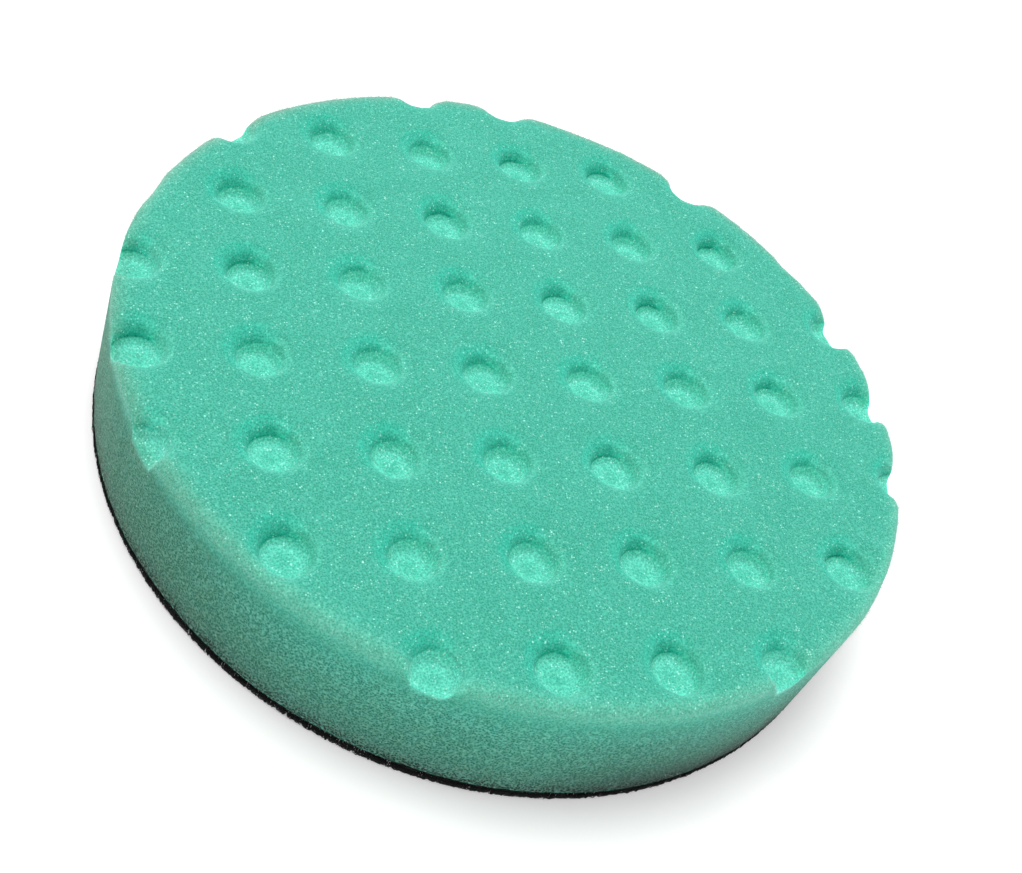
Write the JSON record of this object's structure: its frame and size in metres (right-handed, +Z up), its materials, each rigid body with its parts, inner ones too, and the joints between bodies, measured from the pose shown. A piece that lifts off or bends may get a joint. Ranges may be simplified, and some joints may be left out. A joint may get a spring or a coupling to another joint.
{
  "type": "polishing pad",
  "caption": "Round foam polishing pad with a dimpled working face and a hook-and-loop backing, for a machine polisher's backing plate.",
  "frame": {"origin": "centre of the loop face, on the plane that rests on the backing plate", "axes": "+Z up out of the foam working face along the pad's axis; the rows of dimples run along X and Y"},
  "size_m": [0.14, 0.14, 0.0254],
  "materials": {
    "foam": "fine open-cell polyurethane foam, mint green, with faint glints",
    "bond": "thin dull laminating adhesive",
    "ground_cloth": "black warp-knitted polyamide ground cloth",
    "loops": "black brushed loop pile, soft sheen"
  },
  "bodies": {
    "root": {"foam_pad": "foam", "bond_film": "bond", "backing_fabric": "ground_cloth", "loop_pile": "loops"}
  },
  "joints": []
}
